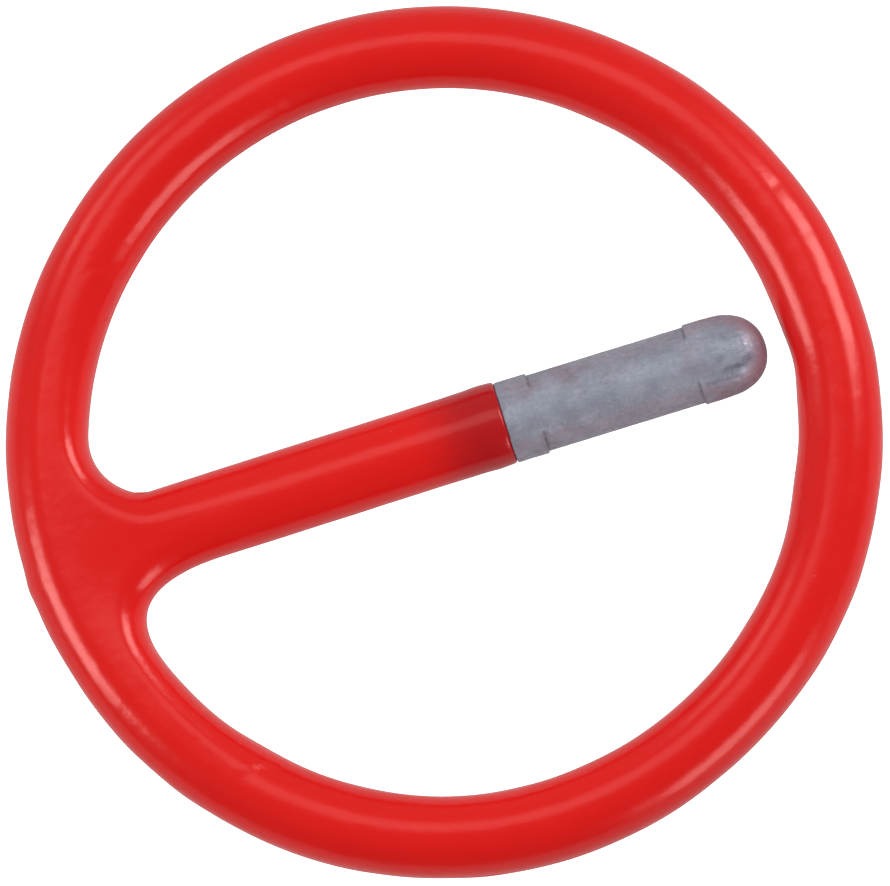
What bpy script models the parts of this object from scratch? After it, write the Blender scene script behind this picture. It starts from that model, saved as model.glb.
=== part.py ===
"""One-piece retaining ring for an impact socket: an elastomer ring with a steel locking pin on a flexible sleeve.

The ring lies flat with its centre at the origin and its axis along +Z. The pin points along +X, from the neck where
its sleeve grows out of the ring to the domed nose near the opposite side. The sleeve and the pin hang from an empty
on the axis about which the neck bends. All sizes are in metres.
"""

import math

import bmesh
import bpy
from mathutils import Matrix

MM = 0.001

# Ring of round section. It closes on a 54 mm groove.
GROOVE_DIAMETER = 54.0 * MM
SECTION_RADIUS = 3.25 * MM
RING_RADIUS = GROOVE_DIAMETER / 2 + SECTION_RADIUS
RING_STEPS = 72
SECTION_STEPS = 22  # leaves a flat facet at the very top and the very bottom

# Webs that blend the ring into the sleeve, one on each side of the neck. Each follows a quarter of an ellipse.
WEB_RADIUS = 3.2 * MM
LEFT_WEB_RADIUS = 3.9 * MM
RIGHT_WEB_REACH = 6.85 * MM
RIGHT_WEB_RISE = 3.53 * MM
RIGHT_WEB_END = -19.25 * MM

# Neck: the sleeve turns about a line parallel to Y. Its end is a knuckle in a seat on the ring's side.
NECK_X = -20.0 * MM
KNUCKLE_RADIUS = 3.25 * MM
SEAT_FACE_X = -22.7 * MM
GAP = 0.3 * MM

# Sleeve
SLEEVE_RADIUS = 3.24 * MM
SLEEVE_END_X = 4.8 * MM
SLEEVE_SIDES = 24

# Locking pin, along +X
SHANK_START_X = -14.5 * MM
SHANK_RADIUS = 2.0 * MM
ANCHOR_RADIUS = 1.6 * MM
ANCHOR_WIDTH = 1.4 * MM
ANCHOR_CENTRES = (-11.6 * MM, -7.8 * MM, -4.0 * MM)
SHOULDER_X = 0.4 * MM
SHOULDER_RADIUS = 2.4 * MM
COLLAR_X = 5.1 * MM
COLLAR_END_X = 7.45 * MM
HEAD_X = 20.0 * MM
DOME_X = 22.5 * MM
TIP_X = 25.65 * MM
HEAD_RADIUS = 3.12 * MM
CORE_RADIUS = 2.94 * MM
BODY_HALF_WIDTH = 3.01 * MM
BODY_HALF_HEIGHT = 3.08 * MM
EDGE_BREAK = 0.12 * MM
PIN_STEPS = 24
DOME_STEPS = 7


def clear_scene() -> None:
    """Remove whatever the file starts with."""
    for obj in list(bpy.data.objects):
        bpy.data.objects.remove(obj, do_unlink=True)


def make_collection(name: str, hidden: bool = False) -> bpy.types.Collection:
    """Add a collection under the scene's own."""
    collection = bpy.data.collections.new(name)
    collection.hide_render = hidden
    bpy.context.scene.collection.children.link(collection)
    return collection


def make_material(name: str, colour: tuple, roughness: float, metallic: float) -> bpy.types.Material:
    """Make a plain Principled material."""
    material = bpy.data.materials.new(name)
    material.use_nodes = True
    material.diffuse_color = (*colour, 1.0)
    shader = material.node_tree.nodes["Principled BSDF"]
    shader.inputs["Base Color"].default_value = (*colour, 1.0)
    shader.inputs["Roughness"].default_value = roughness
    shader.inputs["Metallic"].default_value = metallic
    return material


def move_to(obj: bpy.types.Object, collection: bpy.types.Collection) -> None:
    """Keep an object in one collection only."""
    for owner in list(obj.users_collection):
        owner.objects.unlink(obj)
    collection.objects.link(obj)


def as_cutter(obj: bpy.types.Object, collection: bpy.types.Collection) -> bpy.types.Object:
    """Hide an object that only shapes another one."""
    obj.hide_render = True
    obj.display_type = "WIRE"
    move_to(obj, collection)
    return obj


def add_object(name: str, mesh: bpy.types.Mesh, collection: bpy.types.Collection) -> bpy.types.Object:
    """Wrap a mesh in an object."""
    obj = bpy.data.objects.new(name, mesh)
    collection.objects.link(obj)
    return obj


def box(name: str, low: tuple, high: tuple, collection: bpy.types.Collection) -> bpy.types.Object:
    """A box between two corners."""
    mesh = bpy.data.meshes.new(name)
    bm = bmesh.new()
    bmesh.ops.create_cube(bm, size=1.0)
    size = [b - a for a, b in zip(low, high)]
    middle = [(a + b) / 2 for a, b in zip(low, high)]
    bmesh.ops.transform(bm, matrix=Matrix.Translation(middle) @ Matrix.Diagonal((*size, 1.0)), verts=bm.verts)
    bm.to_mesh(mesh)
    bm.free()
    return add_object(name, mesh, collection)


def rod(name: str, axis: str, start: float, end: float, radius: float, sides: int,
        collection: bpy.types.Collection, centre: tuple = (0.0, 0.0)) -> bpy.types.Object:
    """A cylinder along X or Y. The centre is its place across the axis: (y, z) for X and (x, z) for Y."""
    mesh = bpy.data.meshes.new(name)
    bm = bmesh.new()
    bmesh.ops.create_cone(bm, cap_ends=True, segments=sides, radius1=radius, radius2=radius, depth=abs(end - start))
    middle = (start + end) / 2
    if axis == "X":
        turn = Matrix.Rotation(math.pi / 2, 4, "Y")
        place = (middle, centre[0], centre[1])
    else:
        turn = Matrix.Rotation(math.pi / 2, 4, "X")
        place = (centre[0], middle, centre[1])
    bmesh.ops.transform(bm, matrix=Matrix.Translation(place) @ turn, verts=bm.verts)
    bm.to_mesh(mesh)
    bm.free()
    return add_object(name, mesh, collection)


def bent_tube(name: str, points: list, radius: float, collection: bpy.types.Collection) -> bpy.types.Object:
    """A round tube along points in the XY plane, as a closed mesh."""
    curve = bpy.data.curves.new(name, "CURVE")
    curve.dimensions = "3D"
    curve.twist_mode = "Z_UP"
    curve.bevel_depth = radius
    curve.bevel_resolution = 6
    curve.use_fill_caps = True
    spline = curve.splines.new("POLY")
    spline.points.add(len(points) - 1)
    for point, (x, y) in zip(spline.points, points):
        point.co = (x, y, 0.0, 1.0)
    guide = add_object(name + "_guide", curve, collection)
    bpy.context.view_layer.update()
    mesh = bpy.data.meshes.new_from_object(guide.evaluated_get(bpy.context.evaluated_depsgraph_get()))
    bm = bmesh.new()
    bm.from_mesh(mesh)
    bmesh.ops.remove_doubles(bm, verts=bm.verts, dist=1e-6)
    bmesh.ops.recalc_face_normals(bm, faces=bm.faces)
    bm.to_mesh(mesh)
    bm.free()
    tube = add_object(name, mesh, collection)
    tube.matrix_world = guide.matrix_world
    bpy.data.objects.remove(guide, do_unlink=True)
    return tube


def add_boolean(obj: bpy.types.Object, operation: str, other: bpy.types.Object) -> None:
    """Join, cut or keep what is shared with another object."""
    modifier = obj.modifiers.new(f"{operation.lower()}_{other.name}", "BOOLEAN")
    modifier.operation = operation
    modifier.solver = "EXACT"
    modifier.object = other


def left_web_path(steps: int = 12) -> list:
    """Centre line of the tight web: a circular arc that touches the ring's centre line and the pin's axis."""
    inner = LEFT_WEB_RADIUS
    centre_y = SECTION_RADIUS + inner
    reach = GROOVE_DIAMETER / 2 - inner
    centre_x = -math.sqrt(reach ** 2 - centre_y ** 2)
    first = math.atan2(centre_y, centre_x)
    last = 1.5 * math.pi
    radius = inner + SECTION_RADIUS
    turns = [first + (last - first) * i / steps for i in range(steps + 1)]
    return [(centre_x + radius * math.cos(t), centre_y + radius * math.sin(t)) for t in turns]


def right_web_path(steps: int = 14) -> list:
    """Centre line of the long web: a quarter ellipse pushed out by the section's radius."""
    first, last = math.radians(-192.0), math.radians(-270.0)
    path = []
    for i in range(steps + 1):
        t = first + (last - first) * i / steps
        edge_x = RIGHT_WEB_END + RIGHT_WEB_REACH * math.cos(t)
        edge_y = -(SECTION_RADIUS + RIGHT_WEB_RISE) + RIGHT_WEB_RISE * math.sin(t)
        across = (math.cos(t) / RIGHT_WEB_REACH, math.sin(t) / RIGHT_WEB_RISE)
        length = math.hypot(*across)
        path.append((edge_x + SECTION_RADIUS * across[0] / length, edge_y + SECTION_RADIUS * across[1] / length))
    return path


def neck_parts(suffix: str, cutters: bpy.types.Collection) -> list:
    """The two webs, as shapes to join on."""
    shapes = [
        bent_tube("left_web_" + suffix, left_web_path(), WEB_RADIUS, cutters),
        bent_tube("right_web_" + suffix, right_web_path(), WEB_RADIUS, cutters),
    ]
    return [as_cutter(shape, cutters) for shape in shapes]


def build_ring(parts: bpy.types.Collection, cutters: bpy.types.Collection) -> bpy.types.Object:
    """Ring, its webs and the seat that faces the sleeve's knuckle."""
    bpy.ops.mesh.primitive_torus_add(
        major_segments=RING_STEPS, minor_segments=SECTION_STEPS, major_radius=RING_RADIUS, minor_radius=SECTION_RADIUS)
    ring = bpy.context.object
    ring.name = "retaining_ring"
    ring.data.name = "retaining_ring"
    move_to(ring, parts)
    stub = as_cutter(rod("neck_stub", "X", -RING_RADIUS, NECK_X, SLEEVE_RADIUS, SLEEVE_SIDES, cutters), cutters)
    for shape in [stub, *neck_parts("ring", cutters)]:
        add_boolean(ring, "UNION", shape)
    reach = 12 * MM
    opening = box("neck_opening", (SEAT_FACE_X, -reach, -reach / 2), (NECK_X + reach, reach, reach / 2), cutters)
    seat = rod("neck_seat", "Y", -reach, reach, KNUCKLE_RADIUS + GAP, 32, cutters, (NECK_X, 0.0))
    for cutter in (opening, seat):
        add_boolean(ring, "DIFFERENCE", as_cutter(cutter, cutters))
    return ring


def build_sleeve(parts: bpy.types.Collection, cutters: bpy.types.Collection) -> bpy.types.Object:
    """Sleeve: a round arm with the webs' ends at its root, a knuckle, and a stepped bore for the pin's shank."""
    sleeve = rod("pin_sleeve", "X", -RING_RADIUS, SLEEVE_END_X, SLEEVE_RADIUS, SLEEVE_SIDES, parts)
    for shape in neck_parts("sleeve", cutters):
        add_boolean(sleeve, "UNION", shape)
    reach = 12 * MM
    keep = box("sleeve_keep", (NECK_X, -reach, -reach / 2), (SLEEVE_END_X + MM, reach, reach / 2), cutters)
    knuckle = rod("knuckle_keep", "Y", -reach, reach, KNUCKLE_RADIUS, 32, cutters, (NECK_X, 0.0))
    add_boolean(keep, "UNION", as_cutter(knuckle, cutters))
    add_boolean(sleeve, "INTERSECT", as_cutter(keep, cutters))
    bore = rod("shank_bore", "X", SHANK_START_X - GAP, SLEEVE_END_X + MM, SHANK_RADIUS + GAP, 20, cutters)
    mouth = rod("shoulder_bore", "X", SHOULDER_X - GAP, SLEEVE_END_X + MM, SHOULDER_RADIUS + GAP, 20, cutters)
    for cutter in (bore, mouth):
        add_boolean(sleeve, "DIFFERENCE", as_cutter(cutter, cutters))
    return sleeve


def pin_profile() -> list:
    """Half section of the pin as (radius, distance along the pin), from the nose down to the shank's end."""
    profile = [(0.0, TIP_X)]
    for i in range(1, DOME_STEPS + 1):
        t = 0.5 * math.pi * i / DOME_STEPS
        profile.append((HEAD_RADIUS * math.sin(t), DOME_X + (TIP_X - DOME_X) * math.cos(t)))
    profile += [
        (HEAD_RADIUS, HEAD_X + EDGE_BREAK / 2),
        (HEAD_RADIUS - EDGE_BREAK / 2, HEAD_X),
        (CORE_RADIUS, HEAD_X),
        (CORE_RADIUS, COLLAR_END_X),
        (HEAD_RADIUS - EDGE_BREAK / 2, COLLAR_END_X),
        (HEAD_RADIUS, COLLAR_END_X - EDGE_BREAK / 2),
        (HEAD_RADIUS, COLLAR_X + EDGE_BREAK),
        (HEAD_RADIUS - EDGE_BREAK, COLLAR_X),
        (SHOULDER_RADIUS, COLLAR_X),
        (SHOULDER_RADIUS, SHOULDER_X + EDGE_BREAK),
        (SHOULDER_RADIUS - EDGE_BREAK, SHOULDER_X),
        (SHANK_RADIUS, SHOULDER_X),
    ]
    for centre in reversed(ANCHOR_CENTRES):
        profile += [
            (SHANK_RADIUS, centre + ANCHOR_WIDTH / 2),
            (ANCHOR_RADIUS, centre + ANCHOR_WIDTH / 2 - EDGE_BREAK),
            (ANCHOR_RADIUS, centre - ANCHOR_WIDTH / 2 + EDGE_BREAK),
            (SHANK_RADIUS, centre - ANCHOR_WIDTH / 2),
        ]
    profile += [
        (SHANK_RADIUS, SHANK_START_X + 2 * EDGE_BREAK),
        (SHANK_RADIUS - 2 * EDGE_BREAK, SHANK_START_X),
        (0.0, SHANK_START_X),
    ]
    return profile


def build_pin(parts: bpy.types.Collection, cutters: bpy.types.Collection) -> bpy.types.Object:
    """Locking pin: a turned profile along X, with the oval body between the collar and the head joined on."""
    mesh = bpy.data.meshes.new("locking_pin")
    profile = pin_profile()
    mesh.from_pydata([(r, 0.0, z) for r, z in profile], [(i, i + 1) for i in range(len(profile) - 1)], [])
    pin = add_object("locking_pin", mesh, parts)
    pin.rotation_euler = (0.0, math.pi / 2, 0.0)
    screw = pin.modifiers.new("turned", "SCREW")
    screw.axis = "Z"
    screw.angle = 2 * math.pi
    screw.steps = PIN_STEPS
    screw.render_steps = PIN_STEPS
    screw.use_merge_vertices = True
    screw.merge_threshold = 1e-6
    overlap = 0.15 * MM
    body = rod("oval_body", "X", COLLAR_END_X - overlap, HEAD_X + overlap, 1.0 * MM, 28, cutters)
    body.data.transform(Matrix.Diagonal((1.0, BODY_HALF_WIDTH / MM, BODY_HALF_HEIGHT / MM, 1.0)))
    add_boolean(pin, "UNION", as_cutter(body, cutters))
    return pin


def hang_from(empty: bpy.types.Object, obj: bpy.types.Object) -> None:
    """Parent an object to the joint's empty and leave it where it is."""
    obj.parent = empty
    obj.matrix_parent_inverse = empty.matrix_world.inverted()


def main() -> None:
    """Build the ring, the sleeve and the pin."""
    clear_scene()
    parts = make_collection("socket_retaining_ring")
    cutters = make_collection("cutters", hidden=True)
    elastomer = (0.72, 0.012, 0.012)
    looks = {
        "retaining_ring": make_material("red_elastomer_ring", elastomer, 0.3, 0.0),
        "pin_sleeve": make_material("red_elastomer_sleeve", elastomer, 0.3, 0.0),
        "locking_pin": make_material("phosphated_steel", (0.27, 0.30, 0.36), 0.55, 0.6),
    }
    pivot = bpy.data.objects.new("pin_pivot", None)
    pivot.location = (NECK_X, 0.0, 0.0)
    pivot.empty_display_size = 5 * MM
    parts.objects.link(pivot)
    bpy.context.view_layer.update()
    ring = build_ring(parts, cutters)
    sleeve = build_sleeve(parts, cutters)
    pin = build_pin(parts, cutters)
    for obj in (sleeve, pin):
        hang_from(pivot, obj)
    for obj in (ring, sleeve, pin):
        obj.data.materials.append(looks[obj.name])
        if obj.data.polygons:
            obj.data.shade_smooth()
            obj.data.set_sharp_from_angle(angle=math.radians(35))
    bpy.context.view_layer.update()


main()
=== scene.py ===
"""Looks of a socket retaining ring: a glossy red elastomer ring with a phosphated locking pin on a flexible sleeve.

The ring lies in the XY plane round the origin. The pin points along +X, from its root at the ring's -X side to its
domed nose near the +X side. Sizes inside the classes are in millimetres and become metres in one place, metres().
"""

import logging
import math
from collections.abc import Callable, Iterable
from dataclasses import dataclass, field
from enum import Enum

import bmesh
import bpy
import numpy as np
from mathutils import Matrix, Vector, noise


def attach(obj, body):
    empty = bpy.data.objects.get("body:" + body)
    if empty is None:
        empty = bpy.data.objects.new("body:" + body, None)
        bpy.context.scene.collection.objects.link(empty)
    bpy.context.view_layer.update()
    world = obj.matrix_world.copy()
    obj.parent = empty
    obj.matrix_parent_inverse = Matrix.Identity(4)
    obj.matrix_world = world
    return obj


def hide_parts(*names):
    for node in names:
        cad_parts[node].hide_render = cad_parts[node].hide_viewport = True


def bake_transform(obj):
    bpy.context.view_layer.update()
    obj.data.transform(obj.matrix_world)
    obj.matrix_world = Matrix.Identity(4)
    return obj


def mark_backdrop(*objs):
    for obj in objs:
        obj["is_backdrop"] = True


LOG = logging.getLogger("retaining_ring")
MM = 0.001
Colour = tuple[float, float, float, float]

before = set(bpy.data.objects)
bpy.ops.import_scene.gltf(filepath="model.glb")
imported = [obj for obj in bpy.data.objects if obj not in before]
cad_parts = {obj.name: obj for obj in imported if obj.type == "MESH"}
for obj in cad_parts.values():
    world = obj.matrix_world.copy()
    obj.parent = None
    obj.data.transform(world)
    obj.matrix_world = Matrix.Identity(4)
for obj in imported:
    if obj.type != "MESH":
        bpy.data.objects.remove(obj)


def metres(*values: float) -> tuple[float, ...]:
    """Millimetres as metres."""
    return tuple(value * MM for value in values)


class Body(Enum):
    """The two bodies that pieces ride on."""

    RING = "ring"
    PIN = "pin"


class Slot(Enum):
    """Material slots of the record."""

    ELASTOMER = "red_elastomer"
    STEEL = "phosphated_steel"


# ---------------------------------------------------------------------------------------------------------------
# Hand tools: selection, edit mode and modifiers


def deselect_all() -> None:
    """Leave edit mode and select nothing."""
    if bpy.context.object is not None and bpy.context.object.mode != "OBJECT":
        bpy.ops.object.mode_set(mode="OBJECT")
    bpy.ops.object.select_all(action="DESELECT")


def take(obj: bpy.types.Object) -> None:
    """Select one object and make it active."""
    deselect_all()
    obj.select_set(True)
    bpy.context.view_layer.objects.active = obj


def edit_select(obj: bpy.types.Object, kind: str, chosen: Callable[[bmesh.types.BMVert], bool]) -> None:
    """Enter edit mode with some vertices, edges or faces selected.

    Args:
        obj: The object to edit.
        kind: VERT, EDGE or FACE.
        chosen: Tells from an element whether it is selected.
    """
    take(obj)
    bpy.ops.object.mode_set(mode="EDIT")
    bpy.ops.mesh.select_mode(type=kind)
    bpy.ops.mesh.select_all(action="DESELECT")
    mesh = bmesh.from_edit_mesh(obj.data)
    elements = {"VERT": mesh.verts, "EDGE": mesh.edges, "FACE": mesh.faces}[kind]
    for element in elements:
        if chosen(element):
            element.select_set(True)
    mesh.select_flush_mode()
    bmesh.update_edit_mesh(obj.data)


def finish_mesh(obj: bpy.types.Object, sharp_degrees: float = 50.0) -> None:
    """Apply the object's place to its mesh and shade it smooth up to an angle."""
    take(obj)
    bpy.ops.object.transform_apply(location=True, rotation=True, scale=True)
    bpy.ops.object.shade_smooth_by_angle(angle=math.radians(sharp_degrees))
    deselect_all()


def apply_modifier(obj: bpy.types.Object, modifier: bpy.types.Modifier) -> None:
    """Apply one modifier."""
    take(obj)
    bpy.ops.object.modifier_apply(modifier=modifier.name)


def close_ends(obj: bpy.types.Object) -> None:
    """Fill every open end with a flat face and keep its rim sharp."""
    edit_select(obj, "EDGE", lambda edge: edge.is_boundary)
    bpy.ops.mesh.mark_sharp()
    bpy.ops.mesh.fill_holes(sides=0)
    bpy.ops.object.mode_set(mode="OBJECT")


# ---------------------------------------------------------------------------------------------------------------
# Form of the moulding


@dataclass(frozen=True)
class Dent:
    """A shallow mark in the moulded skin.

    Attributes:
        turn: Its place round the ring, in degrees from +X.
        lean: Its place round the section, in degrees from straight up, outwards positive.
        across: Half its width along the ring, in mm.
        along: Half its length round the section, in mm.
        depth: Its depth in mm; a negative one is a blister.
    """

    turn: float
    lean: float
    across: float
    along: float
    depth: float


@dataclass(frozen=True)
class Swell:
    """A stretch of ring that came out of the mould a little thicker or thinner on one side.

    Attributes:
        turn: Its middle, in degrees from +X.
        spread: Half its length, in degrees.
        outer: Extra radius on the outer side, in mm.
        inner: Extra radius on the inner side, in mm.
    """

    turn: float
    spread: float
    outer: float
    inner: float


@dataclass(frozen=True)
class Web:
    """The rounded corner between the sleeve and the ring on one side.

    Attributes:
        side: 1 for the +Y side, -1 for the -Y side.
        sleeve_x: Where it leaves the sleeve's straight edge, in mm.
        sleeve_pull: How long it keeps the sleeve's direction, in mm.
        ring_turn: Where it joins the ring, in degrees from +X.
        ring_pull: How long it keeps the ring's direction, in mm.
    """

    side: float
    sleeve_x: float
    sleeve_pull: float
    ring_turn: float
    ring_pull: float

    def edge(self, sleeve_edge: float, ring_inner: float) -> np.ndarray:
        """The outline of the opening beside the sleeve: straight edge, corner and ring, as rows of (x, y)."""
        turn = math.radians(self.ring_turn)
        start = np.array([self.sleeve_x, sleeve_edge])
        end = ring_inner * np.array([math.cos(turn), math.sin(turn)])
        along = np.array([-math.sin(turn), math.cos(turn)]) * -self.side
        first, second = start - np.array([self.sleeve_pull, 0.0]), end - along * self.ring_pull
        t = np.linspace(0.0, 1.0, 90)[:, None]
        corner = (1 - t) ** 3 * start + 3 * (1 - t) ** 2 * t * first + 3 * (1 - t) * t * t * second + t**3 * end
        straight = np.stack([np.linspace(-6.0, self.sleeve_x, 20), np.full(20, sleeve_edge)], axis=1)
        turns = turn - self.side * np.linspace(0.0, math.radians(46.0), 70)
        round_part = ring_inner * np.stack([np.cos(turns), np.sin(turns)], axis=1)
        return np.concatenate([straight[:-1], corner, round_part[1:]])


@dataclass
class Moulding:
    """Shape of the elastomer: every section is round at its edges and level where the webs widen it. All in mm."""

    ring_radius: float = 30.32
    ring_section: float = 3.16
    sleeve_section: float = 3.23
    sleeve_y: float = -0.165
    webs: tuple[Web, Web] = (Web(1.0, -22.78, 1.04, 161.1, 3.79), Web(-1.0, -18.6, 8.97, 203.8, 3.29))
    web_round: float = 2.0
    web_limits: tuple[float, float] = (-9.0, 20.0)
    sleeve_limit: float = 10.0
    ring_depth: float = 4.5
    section_ease: tuple[float, float] = (3.5, 9.0)
    sink_at: tuple[float, float] = (-24.4, -3.8)
    sink_reach: float = 4.4
    sink: float = 0.5
    sink_ease: tuple[float, float] = (-0.3, 1.7)
    wave: float = 0.035
    wave_length: float = 8.5
    ripple: float = 0.011
    ripple_length: float = 2.8
    lip: float = 0.05
    lip_x: float = 3.6
    lip_width: float = 0.7
    flash: float = 0.04
    flash_length: float = 4.5
    parting_width: float = 0.09
    dents: tuple[Dent, ...] = (
        Dent(11.6, 30.0, 0.30, 1.5, 0.06),
        Dent(19.3, 29.0, 0.30, 1.3, 0.05),
        Dent(15.5, -22.0, 0.35, 1.0, 0.02),
        Dent(-171.0, 30.0, 0.6, 0.9, 0.018),
        Dent(-139.0, 40.0, 0.5, 0.6, 0.015),
        Dent(97.0, -40.0, 0.5, 0.7, 0.015),
        Dent(-178.0, 34.0, 0.35, 1.6, 0.03),
        Dent(-62.0, 45.0, 0.5, 0.9, -0.015),
        Dent(132.0, 20.0, 1.6, 0.5, 0.012),
    )
    swells: tuple[Swell, ...] = (
        Swell(-5.5, 4.5, 0.07, -0.2),
        Swell(-25.0, 5.5, 0.0, 0.19),
        Swell(11.5, 6.0, 0.13, 0.0),
        Swell(-62.0, 13.0, -0.13, 0.0),
        Swell(-177.6, 1.8, 0.12, 0.0),
        Swell(-165.0, 6.5, -0.07, 0.0),
        Swell(-103.0, 13.0, 0.0, -0.09),
        Swell(-138.0, 5.0, -0.03, 0.09),
    )

    @staticmethod
    def past_edge(flat: np.ndarray, edge: np.ndarray, side: float) -> tuple[np.ndarray, np.ndarray, np.ndarray]:
        """Distance past an outline, into the opening, and the direction into the opening.

        Args:
            flat: Points as rows of (x, y).
            edge: The outline as rows of (x, y).
            side: 1 where the opening is on the right-hand side of the outline's run, -1 on the left.

        Returns:
            The distances, negative inside the material, the directions, and the share of the outline run so far.
        """
        run = np.gradient(edge, axis=0)
        run /= np.linalg.norm(run, axis=1, keepdims=True)
        across = side * np.stack([run[:, 1], -run[:, 0]], axis=1)
        best, nearest = np.full(len(flat), np.inf), np.zeros(len(flat))
        for index, (start, end) in enumerate(zip(edge[:-1], edge[1:])):
            step = end - start
            t = np.clip((flat - start) @ step / (step @ step), 0.0, 1.0)
            gap = ((flat - start - t[:, None] * step) ** 2).sum(axis=1)
            closer = gap < best
            best[closer], nearest[closer] = gap[closer], index + t[closer]
        low = np.minimum(nearest.astype(int), len(edge) - 2)
        part = (nearest - low)[:, None]
        point = edge[low] * (1 - part) + edge[low + 1] * part
        into = across[low] * (1 - part) + across[low + 1] * part
        into /= np.linalg.norm(into, axis=1, keepdims=True)
        along = nearest / (len(edge) - 1)
        return np.sqrt(best) * np.sign(((flat - point) * into).sum(axis=1)), into, along

    def profile(self, flat: np.ndarray) -> tuple[np.ndarray, np.ndarray, np.ndarray]:
        """How far each place is from the level middle, which way its edge is, and the section's radius there.

        Args:
            flat: Points as rows of (x, y).

        Returns:
            The distance from the middle (negative deep inside a web), the unit direction, and the radius.
        """
        reach = np.linalg.norm(flat, axis=1)
        radial = flat / reach[:, None]
        from_line = reach - self.ring_radius
        on_ring = (np.abs(from_line) < np.abs(flat[:, 1] - self.sleeve_y)) | (flat[:, 0] > self.sleeve_limit)
        middle = np.where(on_ring, np.abs(from_line), np.abs(flat[:, 1] - self.sleeve_y))
        beside = np.stack([np.zeros(len(flat)), np.sign(flat[:, 1] - self.sleeve_y)], axis=1)
        way = np.where(on_ring[:, None], radial * np.sign(from_line)[:, None], beside)
        first, last = self.section_ease
        inward = np.clip((-from_line - first) / (last - first), 0.0, 1.0)
        radius = self.ring_section + (self.sleeve_section - self.ring_section) * inward**2 * (3 - 2 * inward)
        near = (flat[:, 0] < self.web_limits[0]) & (np.abs(flat[:, 1]) < self.web_limits[1])
        options, ways = [from_line[near]], [radial[near]]
        for web in self.webs:
            edge = web.edge(self.sleeve_y + web.side * self.sleeve_section, self.ring_radius - self.ring_section)
            past, into, along = self.past_edge(flat[near], edge, web.side)
            width = radius[near] - (radius[near] - self.web_round) * np.sin(math.pi * along) ** 2
            options.append((past + width) * radius[near] / width)
            ways.append(into)
        pick = np.argmax(np.stack(options), axis=0)
        rows = np.arange(len(pick))
        middle[near] = np.stack(options)[pick, rows]
        way[near] = np.stack(ways)[pick, rows]
        return middle, way, radius

    def skin(self, points: np.ndarray) -> tuple[np.ndarray, np.ndarray]:
        """How far each point lies outside the skin, and the direction out of it."""
        middle, way, radius = self.profile(points[:, :2])
        reach = np.linalg.norm(points[:, :2], axis=1)
        turn = np.degrees(np.arctan2(points[:, 1], points[:, 0]))
        swell = np.zeros(len(points))
        for one in self.swells:
            near = np.exp(-((((turn - one.turn + 180) % 360 - 180) / one.spread) ** 2))
            swell += near * np.where(reach > self.ring_radius, one.outer, one.inner)
        swell[reach < self.ring_radius - self.ring_depth] = 0.0
        middle = np.maximum(middle, 0.0) * radius / (radius + swell)
        away = np.linalg.norm(points[:, :2] - np.array(self.sink_at), axis=1) / self.sink_reach
        first, last = self.sink_ease
        off_crest = np.clip((self.ring_radius - reach - first) / (last - first), 0.0, 1.0)
        flatten = radius / (radius - self.sink * np.exp(-(away**2)) * off_crest)
        span = np.maximum(np.hypot(middle, points[:, 2] * flatten), 1e-6)
        out = np.concatenate([way * (middle / span)[:, None], (points[:, 2] * flatten**2 / span)[:, None]], axis=1)
        steep = np.linalg.norm(out, axis=1)
        return (span - radius) / steep, out / steep[:, None]

    def relief(self, points: np.ndarray) -> np.ndarray:
        """Height of the skin's slow waves, marks and the lip at the sleeve's mouth."""
        height = np.array([noise.noise(Vector(p) / self.wave_length) for p in points]) * self.wave
        offset = Vector((9, 4, 2))
        height += np.array([noise.noise(Vector(p) / self.ripple_length + offset) for p in points]) * self.ripple
        turn = np.degrees(np.arctan2(points[:, 1], points[:, 0]))
        out = np.hypot(points[:, 0], points[:, 1]) - self.ring_radius
        lean = np.degrees(np.arctan2(out, points[:, 2]))
        for dent in self.dents:
            across = np.radians((turn - dent.turn + 180) % 360 - 180) * self.ring_radius / dent.across
            along = np.radians((lean - dent.lean + 180) % 360 - 180) * self.ring_section / dent.along
            height -= dent.depth * np.exp(-(across**2) - along**2)
        at_mouth = (np.hypot(points[:, 1], points[:, 2]) < self.ring_depth) & (np.abs(points[:, 0]) < self.sleeve_limit)
        height += at_mouth * self.lip * np.exp(-(((points[:, 0] - self.lip_x) / self.lip_width) ** 2))
        return height

    def settle(self, obj: bpy.types.Object, rounds: int = 8) -> None:
        """Move every vertex of a piece onto the moulded skin and raise the parting line.

        Args:
            obj: A piece whose vertices are already near the skin.
            rounds: How many times the distance is taken off.
        """
        flat = np.empty(len(obj.data.vertices) * 3, np.float64)
        obj.data.vertices.foreach_get("co", flat)
        points = flat.reshape(-1, 3) / MM
        for _ in range(rounds):
            away, out = self.skin(points)
            points -= away[:, None] * out
        points += self.relief(points)[:, None] * self.skin(points)[1]
        obj.data.vertices.foreach_set("co", (points * MM).ravel())
        obj.data.update()
        edit_select(obj, "EDGE", lambda edge: all(abs(v.co.z) < 0.01 * MM for v in edge.verts))
        bpy.ops.mesh.bevel(offset=self.parting_width * MM, segments=2, affect="EDGES")
        bpy.ops.object.mode_set(mode="OBJECT")
        for vertex in obj.data.vertices:
            if abs(vertex.co.z) < 0.02 * MM:
                uneven = noise.noise(vertex.co / (self.flash_length * MM))
                amount = max(self.flash * (0.75 + 1.1 * uneven), 0.01)
                way = Vector((vertex.normal.x, vertex.normal.y, 0.0))
                vertex.co += way.normalized() * amount * MM
        obj.data.update()


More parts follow.
